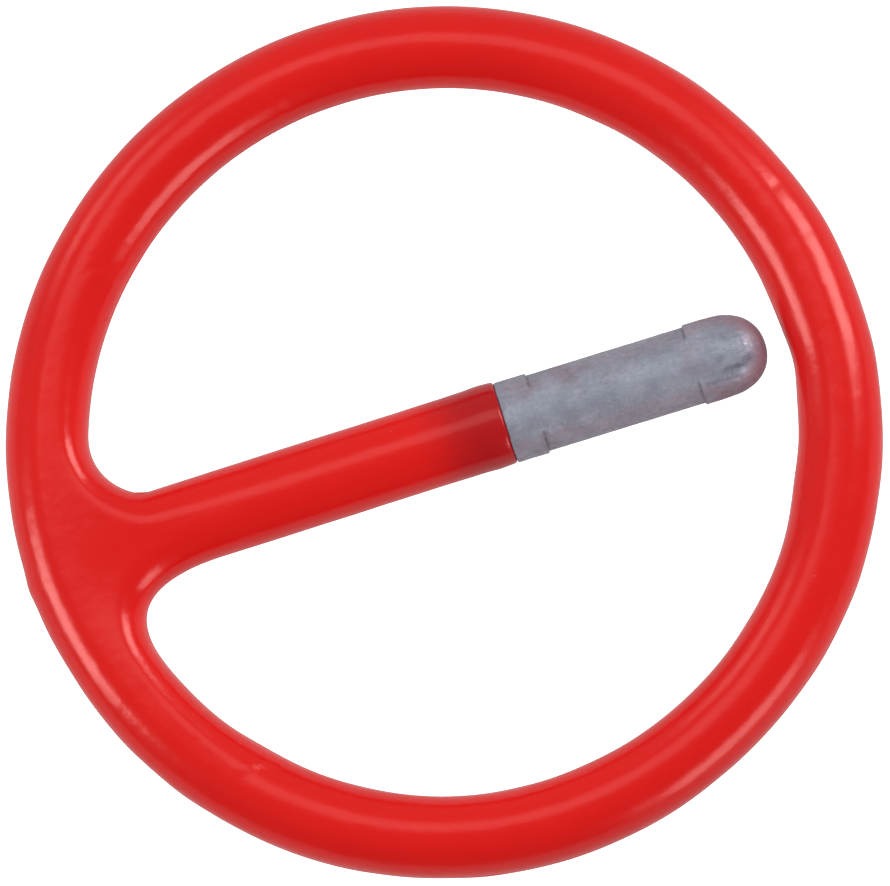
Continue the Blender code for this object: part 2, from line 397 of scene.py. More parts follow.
@dataclass
class Hoop:
    """The ring without the stretch round the neck."""

    mould: Moulding
    seam: float = 160.0
    sides: int = 64
    steps: int = 480

    def build(self) -> bpy.types.Object:
        """Spin a round section through the free part of the ring.

        Returns:
            The finished hoop.
        """
        deselect_all()
        start = -math.radians(self.seam)
        radius = self.mould.ring_radius
        bpy.ops.mesh.primitive_circle_add(
            vertices=self.sides,
            radius=self.mould.ring_section * MM,
            location=metres(radius * math.cos(start), radius * math.sin(start), 0.0),
            rotation=(math.pi / 2, 0.0, start),
        )
        hoop = bpy.context.object
        hoop.name = "ring_hoop"
        bpy.ops.object.transform_apply(location=True, rotation=True, scale=True)
        bpy.ops.object.mode_set(mode="EDIT")
        bpy.ops.mesh.select_all(action="SELECT")
        bpy.ops.mesh.spin(
            steps=self.steps, angle=-2 * math.radians(self.seam), center=(0.0, 0.0, 0.0), axis=(0.0, 0.0, 1.0)
        )
        bpy.ops.mesh.select_all(action="SELECT")
        bpy.ops.mesh.remove_doubles(threshold=1e-6)
        bpy.ops.mesh.normals_make_consistent(inside=False)
        bpy.ops.object.mode_set(mode="OBJECT")
        self.mould.settle(hoop, rounds=3)
        close_ends(hoop)
        finish_mesh(hoop)
        return hoop


@dataclass
class Neck:
    """The stretch of ring round the neck, the webs and the sleeve, as one piece."""

    mould: Moulding
    seam: float = 20.0
    window: float = 15.0
    root_x: float = -20.5
    sleeve_end: float = 4.5
    mouth_x: float = 4.95
    stations: int = 9
    smooth: int = 3
    bend_start: float = -25.0
    bend_end: float = -15.0

    def arc(self) -> bpy.types.Object:
        """The ring's side of the neck: an eight-sided tube with a window where the sleeve joins it."""
        deselect_all()
        start = math.pi - math.radians(self.seam)
        radius = self.mould.ring_radius
        bpy.ops.mesh.primitive_circle_add(
            vertices=8,
            radius=self.mould.ring_section * MM,
            location=metres(radius * math.cos(start), radius * math.sin(start), 0.0),
            rotation=(math.pi / 2, 0.0, start),
        )
        arc = bpy.context.object
        arc.name = "neck_and_sleeve"
        bpy.ops.object.transform_apply(location=True, rotation=True, scale=True)
        bpy.ops.object.mode_set(mode="EDIT")
        bpy.ops.mesh.select_all(action="SELECT")
        bpy.ops.mesh.spin(
            steps=8, angle=-2 * math.radians(self.seam), center=(0.0, 0.0, 0.0), axis=(0.0, 0.0, 1.0)
        )
        bpy.ops.mesh.select_all(action="SELECT")
        bpy.ops.mesh.remove_doubles(threshold=1e-6)

        def in_window(face: bmesh.types.BMFace) -> bool:
            centre = face.calc_center_median() / MM
            inside = math.hypot(centre.x, centre.y) < radius - 0.2
            return inside and abs(math.degrees(math.atan2(centre.y, -centre.x))) < self.window

        edit_select(arc, "FACE", in_window)
        bpy.ops.mesh.delete(type="FACE")
        bpy.ops.object.mode_set(mode="OBJECT")
        return arc

    def sleeve(self) -> bpy.types.Object:
        """The sleeve's side of the neck: an open tube with evenly spaced rings and a side for each window edge."""
        deselect_all()
        length = self.sleeve_end - self.root_x
        bpy.ops.mesh.primitive_cylinder_add(
            vertices=20,
            radius=self.mould.sleeve_section * MM,
            depth=length * MM,
            end_fill_type="NOTHING",
            location=metres(self.root_x + length / 2, self.mould.sleeve_y, 0.0),
            rotation=(0.0, math.pi / 2, 0.0),
        )
        sleeve = bpy.context.object
        bpy.ops.object.transform_apply(location=True, rotation=True, scale=True)
        edit_select(sleeve, "EDGE", lambda edge: abs(edge.verts[0].co.x - edge.verts[1].co.x) > length / 2 * MM)
        bpy.ops.mesh.subdivide(number_cuts=self.stations)
        bpy.ops.object.mode_set(mode="OBJECT")
        return sleeve

    def build(self) -> bpy.types.Object:
        """Bridge the two tubes, round them off, settle them on the mould and finish the sleeve's mouth.

        Returns:
            The finished piece.
        """
        neck, sleeve = self.arc(), self.sleeve()
        take(neck)
        sleeve.select_set(True)
        bpy.ops.object.join()
        root = self.root_x * MM

        def round_window(edge: bmesh.types.BMEdge) -> bool:
            middle = (edge.verts[0].co + edge.verts[1].co) / 2
            away = abs(math.degrees(math.atan2(middle.y, -middle.x)))
            return edge.is_boundary and away < self.window + 0.5 and middle.x < root + 0.1 * MM

        edit_select(neck, "EDGE", round_window)
        bpy.ops.mesh.bridge_edge_loops(number_cuts=2)
        bpy.ops.mesh.select_all(action="SELECT")
        bpy.ops.mesh.normals_make_consistent(inside=False)
        bpy.ops.object.mode_set(mode="OBJECT")
        rounding = neck.modifiers.new("rounding", "SUBSURF")
        rounding.levels = rounding.render_levels = self.smooth
        rounding.boundary_smooth = "PRESERVE_CORNERS"
        apply_modifier(neck, rounding)
        self.mould.settle(neck)
        self.finish_mouth(neck)
        close_ends(neck)
        finish_mesh(neck, 60.0)
        return neck

    def finish_mouth(self, neck: bpy.types.Object) -> None:
        """Turn the sleeve's open end over a soft lip and back into its bore.

        Args:
            neck: The neck, with its sleeve still open.
        """
        end = self.sleeve_end * MM
        edit_select(neck, "EDGE", lambda edge: edge.is_boundary and edge.verts[0].co.x > end - 0.2 * MM)
        radius, place = self.mould.sleeve_section + 0.015, self.sleeve_end
        for next_x, next_radius in (
            (4.66, 3.235),
            (4.78, 3.21),
            (4.87, 3.16),
            (4.93, 3.08),
            (self.mouth_x, 2.99),
            (self.mouth_x - 0.01, 2.62),
            (4.6, 2.5),
            (3.6, 2.46),
        ):
            bpy.ops.mesh.extrude_region_move(TRANSFORM_OT_translate={"value": metres(next_x - place, 0.0, 0.0)})
            scale = next_radius / radius
            bpy.ops.transform.resize(
                value=(1.0, scale, scale), center_override=metres(next_x, self.mould.sleeve_y, 0.0)
            )
            radius, place = next_radius, next_x
        bpy.ops.mesh.select_all(action="SELECT")
        bpy.ops.mesh.normals_make_consistent(inside=False)
        bpy.ops.object.mode_set(mode="OBJECT")


# ---------------------------------------------------------------------------------------------------------------
# Locking pin


@dataclass(frozen=True)
class Mark:
    """A short scrape in the pin's skin that holds dark scale, seen from above: its ends, half width and strength."""

    start: tuple[float, float]
    end: tuple[float, float]
    width: float
    strength: float

    def cover(self, x: float, y: float) -> float:
        """How strongly the mark covers a place."""
        run = (self.end[0] - self.start[0], self.end[1] - self.start[1])
        t = ((x - self.start[0]) * run[0] + (y - self.start[1]) * run[1]) / (run[0] ** 2 + run[1] ** 2)
        t = min(1.0, max(0.0, t))
        away = math.hypot(x - self.start[0] - t * run[0], y - self.start[1] - t * run[1])
        return self.strength * math.exp(-((away / self.width) ** 2))


@dataclass
class LockingPin:
    """Cast steel pin: collar, relieved body, head with side pads and a domed nose. All in mm, along +X."""

    sides: int = 128
    collar_x: float = 4.97
    collar_end: float = 7.45
    head_x: float = 20.0
    dome_x: float = 22.45
    tip_x: float = 25.65
    round_radius: float = 3.05
    body_side: float = 3.02
    pad_height: float = 0.125
    pad_spread: float = 56.0
    axis_y: float = -0.165
    droop: float = 0.26
    grain: float = 0.014
    mark_depth: float = 0.035
    # Half width of the painted shade line at the foot of each pad step, in mm.
    step_shade_width: float = 0.09
    marks: tuple[Mark, ...] = (
        Mark((22.0, -1.45), (23.2, -1.4), 0.2, 0.75),
        Mark((23.2, -1.4), (24.2, -1.0), 0.26, 0.9),
        Mark((21.5, -0.75), (22.1, -0.5), 0.22, 0.6),
        Mark((23.5, 0.9), (24.1, 0.75), 0.2, 0.4),
        Mark((22.7, 1.1), (23.0, 0.7), 0.18, 0.35),
        Mark((22.8, -0.1), (23.7, -0.45), 0.12, 0.3),
        Mark((20.6, -1.95), (22.9, -2.05), 0.13, 0.5),
    )

    def stations(self) -> list[tuple[float, float]]:
        """Places along the pin and the radius at each, from the shank's end to the nose."""
        shank = [(-14.5, 1.76), (-14.26, 2.0)]
        for centre in (-11.6, -7.8, -4.0):
            shank += [(centre - 0.7, 2.0), (centre - 0.58, 1.6), (centre + 0.58, 1.6), (centre + 0.7, 2.0)]
        shank += [(0.4, 2.0), (0.42, 2.28), (0.54, 2.4), (4.9, 2.4), (self.collar_x, 2.42)]
        collar = [(self.collar_x, 2.97), (self.collar_x + 0.03, 3.01), (self.collar_x + 0.1, self.round_radius)]
        r = self.round_radius
        body = [(x, r) for x in self.even(self.collar_x + 0.45, self.collar_end - 0.3, 5)]
        body += [(self.collar_end - 0.08, r), (self.collar_end, r), (self.collar_end + 0.06, r)]
        body += [(x, r) for x in self.even(self.collar_end + 0.3, self.head_x - 0.3, 30)]
        body += [(self.head_x - 0.06, r), (self.head_x, r), (self.head_x + 0.08, r)]
        body += [(x, r) for x in self.even(self.head_x + 0.3, self.dome_x - 0.1, 13)]
        turns = [math.radians(90.0 * i / 26) for i in range(26)]
        length = self.tip_x - self.dome_x
        dome = [(self.dome_x + length * math.sin(t) ** 0.94, r * math.cos(t) ** 0.94) for t in turns]
        return shank + collar + body + dome

    @staticmethod
    def even(first: float, last: float, count: int) -> list[float]:
        """Evenly spaced places."""
        return [first + (last - first) * i / (count - 1) for i in range(count)]

    def build(self) -> bpy.types.Object:
        """Extrude and scale a ring of edges along the pin, close it, then form its flats, pads and cast skin.

        Returns:
            The finished pin.
        """
        deselect_all()
        stations = self.stations()
        place, radius = stations[0]
        bpy.ops.mesh.primitive_circle_add(
            vertices=self.sides,
            radius=radius * MM,
            fill_type="NGON",
            location=metres(place, 0.0, 0.0),
            rotation=(0.0, math.pi / 2, 0.0),
        )
        pin = bpy.context.object
        pin.name = "locking_pin_cast"
        bpy.ops.object.transform_apply(location=True, rotation=True, scale=True)
        edit_select(pin, "EDGE", lambda edge: True)
        for next_place, next_radius in stations[1:]:
            step = metres(next_place - place, 0.0, 0.0)
            bpy.ops.mesh.extrude_edges_move(TRANSFORM_OT_translate={"value": step})
            scale = next_radius / radius
            if abs(scale - 1.0) > 1e-6:
                bpy.ops.transform.resize(value=(1.0, scale, scale), center_override=metres(next_place, 0.0, 0.0))
            place, radius = next_place, next_radius
        bpy.ops.mesh.extrude_edges_move(TRANSFORM_OT_translate={"value": metres(self.tip_x - place, 0.0, 0.0)})
        bpy.ops.mesh.merge(type="CENTER")
        bpy.ops.mesh.select_all(action="SELECT")
        bpy.ops.mesh.remove_doubles(threshold=1e-7)
        bpy.ops.mesh.normals_make_consistent(inside=False)
        bpy.ops.object.mode_set(mode="OBJECT")
        self.form(pin)
        finish_mesh(pin, 40.0)
        return pin

    def form(self, pin: bpy.types.Object) -> None:
        """Relieve the body's sides, raise the pads, roughen the skin, and record where dark scale lies and where
        painted shade lines run at the foot of the pad steps.
        """
        scale_and_step_shade = pin.data.attributes.new("scale_and_step_shade", "FLOAT", "POINT")
        for vertex in pin.data.vertices:
            x, y, z = vertex.co / MM
            radius = math.hypot(y, z)
            if x < self.collar_x - 0.01 or radius < 0.05:
                continue
            side = math.degrees(math.atan2(abs(z), abs(y)))
            on_collar = x < self.collar_end + 0.01
            on_head = x > self.head_x - 0.01
            if on_collar or on_head:
                edge = 1.0 / (1.0 + math.exp((side - self.pad_spread) / 1.1))
                fade = 1.0 if on_collar else max(0.0, 1.0 - max(0.0, (x - self.head_x - 1.2) / 2.2)) ** 0.6
                change = self.pad_height * edge * fade
            else:
                change = -(self.round_radius - self.body_side) * math.cos(math.radians(side)) ** 2
            spot = Vector((x, y, z))
            change += self.grain * noise.fractal(spot * 1.1, 0.9, 2.1, 4)
            change += 0.6 * self.grain * noise.noise(spot * 0.45 + Vector((3, 1, 7)))
            darkening = self.soot(x, y, z)
            change -= self.mark_depth * darkening
            # Painted shade: a thin dark line at the foot of each pad step, stored beside the dark scale.
            steps = (x - self.head_x + 0.07, x - self.collar_end - 0.07)
            step_shade = sum(math.exp(-((away / self.step_shade_width) ** 2)) for away in steps)
            on_pad = 1.0 / (1.0 + math.exp((side - self.pad_spread + 2.0) / 1.5))
            scale_and_step_shade.data[vertex.index].value = min(1.0, darkening + 0.8 * step_shade * on_pad)
            scale = (radius + change) / radius
            vertex.co.y *= scale
            vertex.co.z *= scale
        for vertex in pin.data.vertices:
            past = max(0.0, vertex.co.x / MM) / self.tip_x
            vertex.co.y += (self.axis_y - self.droop * past**0.85) * MM
        pin.data.update()

    def soot(self, x: float, y: float, z: float) -> float:
        """How much dark scale a place on the pin's head holds, from 0 to 1."""
        if z < 0.3:
            return 0.0
        return min(1.0, sum(mark.cover(x, y) for mark in self.marks))


# ---------------------------------------------------------------------------------------------------------------
# Finishes


def new_group(name: str, inputs: dict[str, tuple[str, float]], outputs: dict[str, str]) -> bpy.types.NodeTree:
    """Start a shader node group.

    Args:
        name: The group's name.
        inputs: Socket name to (socket type, starting value).
        outputs: Socket name to socket type.

    Returns:
        The group, with its input and output nodes named "in" and "out".
    """
    group = bpy.data.node_groups.new(name, "ShaderNodeTree")
    for label, (kind, value) in inputs.items():
        socket = group.interface.new_socket(label, in_out="INPUT", socket_type=kind)
        if kind == "NodeSocketFloat":
            socket.default_value = value
    for label, kind in outputs.items():
        group.interface.new_socket(label, in_out="OUTPUT", socket_type=kind)
    group.nodes.new("NodeGroupInput").name = "in"
    group.nodes.new("NodeGroupOutput").name = "out"
    return group


@dataclass(frozen=True)
class Cloud:
    """One layer of cloudy grain: features per mm, octaves, and the range its mask rises over."""

    per_mm: float
    detail: float
    low: float = 0.0
    high: float = 1.0


class Graph:
    """A few short ways to add nodes to one tree."""

    def __init__(self, tree: bpy.types.NodeTree) -> None:
        """Keep the tree."""
        self.tree = tree

    def node(self, kind: str, links: dict | None = None, **values: object) -> bpy.types.Node:
        """Add a node.

        Args:
            kind: The node's type.
            links: Input name or number to an output socket or a plain value.
            values: Properties of the node itself.

        Returns:
            The new node.
        """
        node = self.tree.nodes.new(kind)
        for key, value in values.items():
            setattr(node, key, value)
        for key, source in (links or {}).items():
            if isinstance(source, bpy.types.NodeSocket):
                self.tree.links.new(source, node.inputs[key])
            else:
                node.inputs[key].default_value = source
        return node

    def placed(self, group: bpy.types.NodeTree, links: dict) -> bpy.types.Node:
        """Place a node group with its own values."""
        node = self.node("ShaderNodeGroup", node_tree=group)
        for key, source in links.items():
            if isinstance(source, bpy.types.NodeSocket):
                self.tree.links.new(source, node.inputs[key])
            else:
                node.inputs[key].default_value = source
        return node

    def cloud(self, group: bpy.types.NodeTree, where: bpy.types.NodeSocket, cloud: "Cloud") -> bpy.types.Node:
        """Place the cloudy grain with one cloud's values."""
        links = {"Vector": where, "Per Millimetre": cloud.per_mm, "Detail": cloud.detail}
        return self.placed(group, links | {"Low": cloud.low, "High": cloud.high})

    def turned(self, where: bpy.types.NodeSocket, rotation: tuple, scale: tuple) -> bpy.types.NodeSocket:
        """Coordinates turned and stretched."""
        links = {"Vector": where, "Rotation": rotation, "Scale": scale}
        return self.node("ShaderNodeMapping", links).outputs["Vector"]

    def tinted(self, mask: bpy.types.NodeSocket, strength: float, colour: object, tint: object) -> bpy.types.NodeSocket:
        """A colour mixed towards a tint where a mask is high."""
        return self.mix(self.math("MULTIPLY", mask, strength), colour, tint)

    def math(self, operation: str, *terms: object, clamp: bool = False) -> bpy.types.NodeSocket:
        """A Math node's result."""
        links = dict(enumerate(terms))
        return self.node("ShaderNodeMath", links, operation=operation, use_clamp=clamp).outputs[0]

    def ramp(
        self, value: bpy.types.NodeSocket, low: float, high: float, to: tuple[float, float] = (0.0, 1.0)
    ) -> bpy.types.NodeSocket:
        """A smooth step of a value from low to high, between two results.

        Args:
            value: The value.
            low: Where the step starts.
            high: Where it ends.
            to: The results at its two ends.

        Returns:
            The result's socket.
        """
        links = {"Value": value, "From Min": low, "From Max": high, "To Min": to[0], "To Max": to[1]}
        return self.node("ShaderNodeMapRange", links, interpolation_type="SMOOTHSTEP").outputs["Result"]

    def mix(self, factor: object, first: object, second: object) -> bpy.types.NodeSocket:
        """A mix of two colours.

        Args:
            factor: The second colour's share.
            first: The first colour.
            second: The second colour.

        Returns:
            The mixed colour's socket.
        """
        node = self.node("ShaderNodeMix", data_type="RGBA")
        for index, source in ((0, factor), (6, first), (7, second)):
            if isinstance(source, bpy.types.NodeSocket):
                self.tree.links.new(source, node.inputs[index])
            else:
                node.inputs[index].default_value = source
        return node.outputs[2]


def grain_group() -> bpy.types.NodeTree:
    """Cloudy variation at one size, as a mask and as a signed value."""
    group = new_group(
        "cloudy_grain",
        {
            "Vector": ("NodeSocketVector", 0.0),
            "Per Millimetre": ("NodeSocketFloat", 1.0),
            "Detail": ("NodeSocketFloat", 3.0),
            "Low": ("NodeSocketFloat", 0.35),
            "High": ("NodeSocketFloat", 0.65),
        },
        {"Mask": "NodeSocketFloat", "Value": "NodeSocketFloat"},
    )
    graph = Graph(group)
    given, out = group.nodes["in"].outputs, group.nodes["out"]
    scale = graph.math("MULTIPLY", given["Per Millimetre"], 1.0 / MM)
    cloud = graph.node(
        "ShaderNodeTexNoise", {"Vector": given["Vector"], "Scale": scale, "Detail": given["Detail"], "Roughness": 0.55}
    ).outputs["Fac"]
    mask = graph.node(
        "ShaderNodeMapRange",
        {"Value": cloud, "From Min": given["Low"], "From Max": given["High"]},
        interpolation_type="SMOOTHSTEP",
    ).outputs["Result"]
    group.links.new(mask, out.inputs["Mask"])
    group.links.new(cloud, out.inputs["Value"])
    return group


def speck_group() -> bpy.types.NodeTree:
    """Sparse round specks: dust on rubber, pits in castings."""
    group = new_group(
        "sparse_specks",
        {
            "Vector": ("NodeSocketVector", 0.0),
            "Per Millimetre": ("NodeSocketFloat", 1.0),
            "Size": ("NodeSocketFloat", 0.1),
            "Share": ("NodeSocketFloat", 0.1),
        },
        {"Mask": "NodeSocketFloat"},
    )
    graph = Graph(group)
    given, out = group.nodes["in"].outputs, group.nodes["out"]
    scale = graph.math("MULTIPLY", given["Per Millimetre"], 1.0 / MM)
    cells = graph.node("ShaderNodeTexVoronoi", {"Vector": given["Vector"], "Scale": scale, "Randomness": 1.0})
    pick = graph.node("ShaderNodeSeparateColor", {"Color": cells.outputs["Color"]})
    chosen = graph.math("LESS_THAN", pick.outputs[0], given["Share"])
    size = graph.math("MULTIPLY", given["Size"], graph.math("ADD", pick.outputs[1], 0.35))
    near = graph.math("SUBTRACT", 1.0, graph.math("DIVIDE", cells.outputs["Distance"], size), clamp=True)
    group.links.new(graph.math("MULTIPLY", near, chosen), out.inputs["Mask"])
    return group


@dataclass(frozen=True)
class ElastomerFinish:
    """Glossy red moulded elastomer, duller and darker where it is thin over the pin's shoulder."""

    name: str
    red: Colour = (0.92, 0.0075, 0.0060, 1.0)
    deep: Colour = (0.83, 0.0055, 0.0070, 1.0)
    thin: Colour = (0.51, 0.004, 0.008, 1.0)
    dust_tint: Colour = (0.9, 0.22, 0.18, 1.0)
    sheen: Colour = (1.0, 0.53, 0.50, 1.0)
    gloss: float = 0.16
    smear: float = 0.14
    peel: float = 0.032
    fine: float = 0.003
    speck: float = 0.02
    thin_from: float = -2.0
    thin_to: float = 3.6
    over_steel: bool = False

    def make(self, grain: bpy.types.NodeTree, specks: bpy.types.NodeTree) -> bpy.types.Material:
        """Build the material.

        Args:
            grain: The cloudy grain group.
            specks: The sparse speck group.

        Returns:
            The material.
        """
        material = bpy.data.materials.new(self.name)
        material.use_nodes = True
        graph = Graph(material.node_tree)
        shader = material.node_tree.nodes["Principled BSDF"]
        place = graph.node("ShaderNodeTexCoord").outputs["Object"]
        drift = graph.cloud(grain, place, Cloud(0.09, 2.0, 0.35, 0.68))
        colour = graph.tinted(drift.outputs["Mask"], 0.35, self.red, self.deep)
        if self.over_steel:
            along = graph.node("ShaderNodeSeparateXYZ", {"Vector": place}).outputs["X"]
            uneven = graph.cloud(grain, place, Cloud(0.5, 2.0, 0.3, 0.7)).outputs["Value"]
            shifted = graph.math("ADD", along, graph.math("MULTIPLY", uneven, 1.2 * MM))
            over = graph.ramp(shifted, self.thin_from * MM, self.thin_to * MM)
            colour = graph.tinted(over, 0.92, colour, self.thin)
        dust = graph.placed(specks, {"Vector": place, "Per Millimetre": 0.55, "Size": 0.06, "Share": 0.1})
        dust = dust.outputs["Mask"]
        colour = graph.tinted(dust, 0.45, colour, self.dust_tint)
        graph.tree.links.new(colour, shader.inputs["Base Color"])
        smear = graph.cloud(grain, place, Cloud(0.3, 1.5)).outputs["Value"]
        rough = graph.math("MULTIPLY_ADD", smear, self.smear, self.gloss)
        rough = graph.math("ADD", rough, graph.math("MULTIPLY", dust, 0.3))
        graph.tree.links.new(rough, shader.inputs["Roughness"])
        peel = graph.cloud(grain, place, Cloud(0.85, 2.5)).outputs["Value"]
        fine = graph.cloud(grain, place, Cloud(6.0, 3.0)).outputs["Value"]
        height = graph.math(
            "ADD", graph.math("MULTIPLY", peel, self.peel * MM), graph.math("MULTIPLY", fine, self.fine * MM)
        )
        height = graph.math("ADD", height, graph.math("MULTIPLY", dust, self.speck * MM))
        bump = graph.node("ShaderNodeBump", {"Height": height, "Strength": 1.0, "Distance": 1.0})
        graph.tree.links.new(bump.outputs["Normal"], shader.inputs["Normal"])
        shader.inputs["IOR"].default_value = 1.45
        shader.inputs["Specular IOR Level"].default_value = 0.95
        shader.inputs["Specular Tint"].default_value = self.sheen
        return material


@dataclass(frozen=True)
class CastSteelFinish:
    """Phosphated cast steel: matt blue-grey with cloudy mottling, warm stains, rubbed streaks and dark scale, plus
    painted shade and red reflection on the nose and head sides and painted shade lines at the pad steps.
    """

    name: str
    pale: Colour = (0.45, 0.47, 0.555, 1.0)
    dark: Colour = (0.33, 0.35, 0.425, 1.0)
    shade: Colour = (0.27, 0.295, 0.38, 1.0)
    rubbed: Colour = (0.52, 0.54, 0.62, 1.0)
    stain: Colour = (0.34, 0.25, 0.29, 1.0)
    # Painted red reflection of the ring and painted shade on the domed nose.
    nose_red_reflection_and_shade: Colour = (0.31, 0.15, 0.20, 1.0)
    # Painted shade with a painted red reflection on the head's lower sides.
    flank_shade_and_red_reflection: Colour = (0.27, 0.145, 0.195, 1.0)
    # Dark scale in the scrapes, and painted shade lines at the pad steps.
    scale_and_step_shade_tint: Colour = (0.12, 0.125, 0.17, 1.0)
    scratched: Colour = (0.55, 0.57, 0.65, 1.0)
    pitted: Colour = (0.13, 0.13, 0.18, 1.0)
    metal: float = 0.35

    def make(self, grain: bpy.types.NodeTree, specks: bpy.types.NodeTree) -> bpy.types.Material:
        """Build the material.

        Args:
            grain: The cloudy grain group.
            specks: The sparse speck group.

        Returns:
            The material.
        """
        material = bpy.data.materials.new(self.name)
        material.use_nodes = True
        graph = Graph(material.node_tree)
        shader = material.node_tree.nodes["Principled BSDF"]
        place = graph.node("ShaderNodeTexCoord").outputs["Object"]
        streaks = graph.turned(place, (0.2, 0.0, 0.95), (1.1, 2.3, 1.6))
        scratches = graph.turned(place, (0.4, 0.3, -0.55), (0.6, 5.0, 2.0))
        blotch = graph.cloud(grain, place, Cloud(0.55, 4.0, 0.32, 0.7)).outputs["Mask"]
        fine = graph.cloud(grain, place, Cloud(2.6, 5.0, 0.3, 0.72))
        rub = graph.cloud(grain, streaks, Cloud(1.9, 4.0, 0.5, 0.74)).outputs["Mask"]
        warm = graph.cloud(grain, place, Cloud(0.32, 3.0, 0.5, 0.7)).outputs["Mask"]
        lines = graph.cloud(grain, scratches, Cloud(1.5, 3.0, 0.56, 0.72)).outputs["Mask"]
        pits = graph.placed(specks, {"Vector": place, "Per Millimetre": 1.7, "Size": 0.14, "Share": 0.35})
        pits = pits.outputs["Mask"]
        axes = graph.node("ShaderNodeSeparateXYZ", {"Vector": place}).outputs
        # Painted red reflection of the ring and painted shade: the dome turns darker and redder towards its tip.
        nose = graph.ramp(axes["X"], 22.9 * MM, 25.4 * MM)
        # Painted shade with a painted red reflection: the head darkens and turns purple towards its lower sides.
        low = graph.ramp(axes["Z"], 2.3 * MM, 0.9 * MM)
        flank = graph.math("MULTIPLY", graph.ramp(axes["X"], 19.9 * MM, 21.5 * MM), low)
        # The stored darkening is dark scale in the scrapes plus painted shade lines at the foot of the pad steps.
        darkening = graph.node("ShaderNodeAttribute", attribute_name="scale_and_step_shade").outputs["Fac"]
        darkening = graph.math("MULTIPLY", darkening, graph.ramp(fine.outputs["Value"], 0.3, 0.6, (0.35, 0.8)))
        colour = graph.mix(blotch, self.dark, self.pale)
        for mask, strength, tint in (
            (fine.outputs["Mask"], 0.5, self.shade),
            (rub, 0.45, self.rubbed),
            (warm, 0.4, self.stain),
            (nose, 0.34, self.nose_red_reflection_and_shade),
            (flank, 0.55, self.flank_shade_and_red_reflection),
            (darkening, 1.0, self.scale_and_step_shade_tint),
            (lines, 0.35, self.scratched),
            (pits, 0.6, self.pitted),
        ):
            colour = graph.tinted(mask, strength, colour, tint)
        graph.tree.links.new(colour, shader.inputs["Base Color"])
        rough = graph.ramp(fine.outputs["Mask"], 0.0, 1.0, (0.42, 0.6))
        rough = graph.math("SUBTRACT", rough, graph.math("MULTIPLY", rub, 0.08))
        graph.tree.links.new(rough, shader.inputs["Roughness"])
        lump = graph.cloud(grain, place, Cloud(0.8, 3.0)).outputs["Value"]
        grit = graph.cloud(grain, place, Cloud(9.0, 3.0)).outputs["Value"]
        height = graph.math("MULTIPLY", lump, 0.07 * MM)
        for relief, depth in ((fine.outputs["Value"], 0.05), (grit, 0.006), (pits, -0.02)):
            height = graph.math("ADD", height, graph.math("MULTIPLY", relief, depth * MM))
        bump = graph.node("ShaderNodeBump", {"Height": height, "Strength": 1.0, "Distance": 1.0})
        graph.tree.links.new(bump.outputs["Normal"], shader.inputs["Normal"])
        shader.inputs["Metallic"].default_value = self.metal
        return material


@dataclass(frozen=True)
class TableFinish:
    """Plain pale table top."""

    name: str = "pale_table"
    tone: float = 0.64
    glow: float = 0.9

    def make(self) -> bpy.types.Material:
        """Build the material."""
        material = bpy.data.materials.new(self.name)
        material.use_nodes = True
        shader = material.node_tree.nodes["Principled BSDF"]
        shader.inputs["Base Color"].default_value = (self.tone, self.tone, self.tone, 1.0)
        shader.inputs["Roughness"].default_value = 0.9
        shader.inputs["Specular IOR Level"].default_value = 0.1
        shader.inputs["Emission Strength"].default_value = self.glow
        seen = material.node_tree.nodes.new("ShaderNodeLightPath").outputs["Is Camera Ray"]
        material.node_tree.links.new(seen, shader.inputs["Emission Color"])
        return material


# ---------------------------------------------------------------------------------------------------------------
# Studio


@dataclass(frozen=True)
class Lamp:
    """A soft box, by the direction it shines from as the camera sees it.

    Attributes:
        name: What it is called.
        bearing: Its direction across the view, in degrees from the view's right-hand side.
        lean: Its angle from the camera's own direction, in degrees.
        size: Width and depth in mm at the lamp's distance.
        radiance: Brightness of its face.
    """

    name: str
    bearing: float
    lean: float
    size: tuple[float, float]
    radiance: float


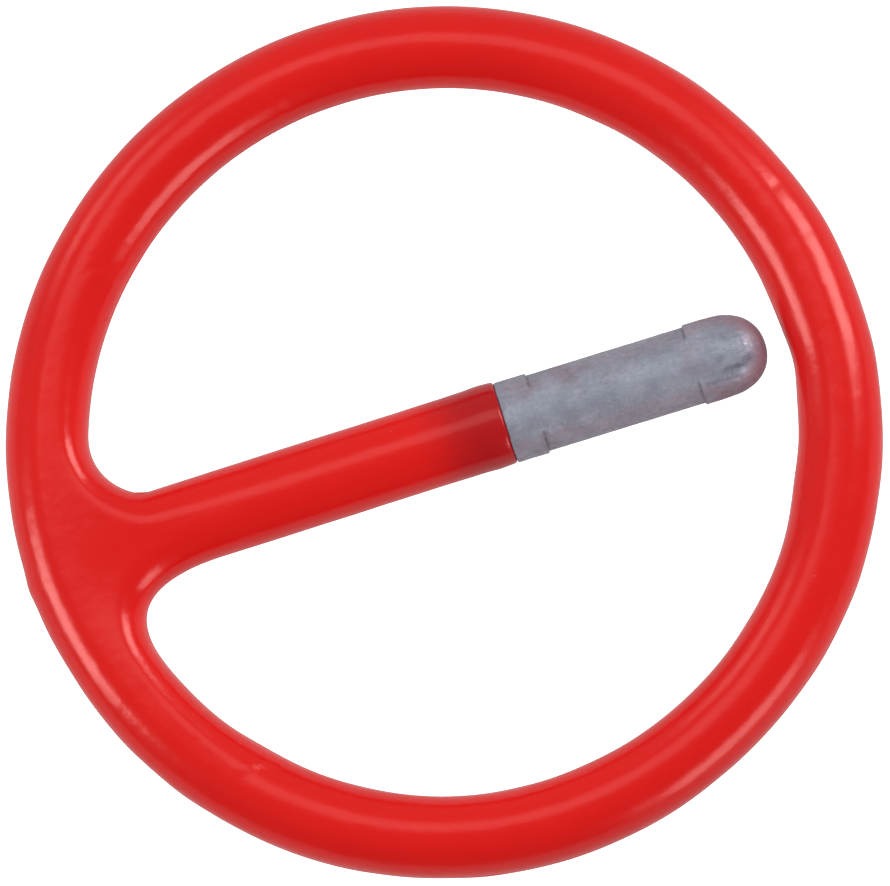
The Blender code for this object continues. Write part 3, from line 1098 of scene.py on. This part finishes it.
@dataclass
class Studio:
    """Camera, lamps and table."""

    pin_rise: float = 17.8
    tilt: float = 8.0
    tilt_bearing: float = 299.2
    lens: float = 372.0
    frame_width: float = 67.835
    offset: tuple[float, float] = (0.17, -0.232)
    lamp_distance: float = 900.0
    table_drop: float = 46.0
    ambient: float = 0.285
    ambient_lift: float = 0.12
    window_bearing: float = 105.0
    lamps: tuple[Lamp, ...] = (
        Lamp("right_box", 37.0, 59.0, (380.0, 450.0), 6.0),
        Lamp("left_box", 193.0, 63.0, (350.0, 420.0), 6.0),
        Lamp("front_box", 318.0, 66.0, (430.0, 400.0), 3.3),
        Lamp("back_box", 140.0, 71.0, (300.0, 300.0), 1.6),
        Lamp("top_panel", 107.0, 29.0, (700.0, 380.0), 0.98),
    )
    axes: Matrix = field(default_factory=Matrix)

    def aim(self) -> None:
        """Create the camera above the ring, turned so that the pin rises to the right."""
        rise = math.radians(self.pin_rise)
        across = Vector((math.cos(rise), -math.sin(rise), 0.0))
        upward = Vector((math.sin(rise), math.cos(rise), 0.0))
        bearing, tilt = math.radians(self.tilt_bearing), math.radians(self.tilt)
        lean = across * math.cos(bearing) + upward * math.sin(bearing)
        back = (Vector((0.0, 0.0, 1.0)) * math.cos(tilt) + lean * math.sin(tilt)).normalized()
        right = (across - back * across.dot(back)).normalized()
        above = back.cross(right)
        self.axes = Matrix((right, above, back)).transposed()
        target = right * self.offset[0] * MM + above * self.offset[1] * MM
        data = bpy.data.cameras.new("studio_camera")
        data.lens = self.lens
        data.sensor_width = 36.0
        data.clip_start = 0.01
        camera = bpy.data.objects.new("studio_camera", data)
        bpy.context.scene.collection.objects.link(camera)
        distance = self.lens * self.frame_width / data.sensor_width * MM
        camera.matrix_world = Matrix.Translation(target + back * distance) @ self.axes.to_4x4()
        bpy.context.scene.camera = camera

    def light(self) -> None:
        """Hang the soft boxes and set the room's even light."""
        world = bpy.data.worlds.new("studio_room")
        bpy.context.scene.world = world
        world.use_nodes = True
        graph = Graph(world.node_tree)
        background = world.node_tree.nodes["Background"]
        bearing = math.radians(self.window_bearing)
        window = self.axes @ Vector((math.cos(bearing), math.sin(bearing), 0.0))
        sky = graph.node("ShaderNodeTexCoord").outputs["Generated"]
        towards = graph.node("ShaderNodeVectorMath", {0: sky, 1: tuple(window)}, operation="DOT_PRODUCT")
        strength = graph.math("MULTIPLY_ADD", towards.outputs["Value"], self.ambient_lift, self.ambient)
        world.node_tree.links.new(strength, background.inputs["Strength"])
        background.inputs["Color"].default_value = (1.0, 1.0, 1.0, 1.0)
        for lamp in self.lamps:
            data = bpy.data.lights.new(lamp.name, "AREA")
            data.shape = "RECTANGLE"
            data.size, data.size_y = metres(*lamp.size)
            data.energy = lamp.radiance * math.pi * data.size * data.size_y
            bearing, lean = math.radians(lamp.bearing), math.radians(lamp.lean)
            beam = Vector((math.sin(lean) * math.cos(bearing), math.sin(lean) * math.sin(bearing), math.cos(lean)))
            beam = self.axes @ beam
            turn = beam.to_track_quat("Z", "Y").to_matrix().to_4x4()
            box = bpy.data.objects.new(lamp.name, data)
            bpy.context.scene.collection.objects.link(box)
            box.matrix_world = Matrix.Translation(beam * self.lamp_distance * MM) @ turn

    def table(self, height: float) -> bpy.types.Object:
        """Lay the table top under the ring.

        Args:
            height: Its height in metres.

        Returns:
            The table top.
        """
        deselect_all()
        bpy.ops.mesh.primitive_plane_add(size=2.4, location=(0.0, 0.0, height))
        top = bpy.context.object
        top.name = "table_top"
        bpy.ops.object.transform_apply(location=True, rotation=True, scale=True)
        top.data.materials.append(TableFinish().make())
        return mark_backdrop(top) or top


# ---------------------------------------------------------------------------------------------------------------


def dress(obj: bpy.types.Object, material: bpy.types.Material) -> None:
    """Give a piece its one material."""
    obj.data.materials.clear()
    obj.data.materials.append(material)


def report(pieces: Iterable[bpy.types.Object]) -> None:
    """Log each piece with its size."""
    for piece in pieces:
        size = [round(value / MM, 2) for value in piece.dimensions]
        LOG.info("%s: %d faces, %s mm", piece.name, len(piece.data.polygons), size)


def main() -> None:
    """Build the ring, the neck with its sleeve, the pin and the studio."""
    logging.basicConfig(level=logging.INFO, format="%(name)s: %(message)s")
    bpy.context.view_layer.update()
    bpy.context.scene.view_settings.view_transform = "Standard"
    grain, specks = grain_group(), speck_group()
    mould = Moulding()
    hoop = Hoop(mould).build()
    neck_maker = Neck(mould)
    neck = neck_maker.build()
    pin = LockingPin().build()
    dress(hoop, ElastomerFinish("red_elastomer_ring").make(grain, specks))
    dress(neck, ElastomerFinish("red_elastomer_sleeve", over_steel=True).make(grain, specks))
    dress(pin, CastSteelFinish("phosphated_cast_steel").make(grain, specks))
    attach(hoop, Body.RING.value)
    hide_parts("retaining_ring")
    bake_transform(neck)
    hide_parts("pin_sleeve")
    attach(pin, Body.PIN.value)
    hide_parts("locking_pin")
    report((hoop, neck, pin))
    studio = Studio()
    studio.aim()
    studio.light()
    studio.table(-studio.table_drop * MM)


if __name__ == "__main__":
    main()
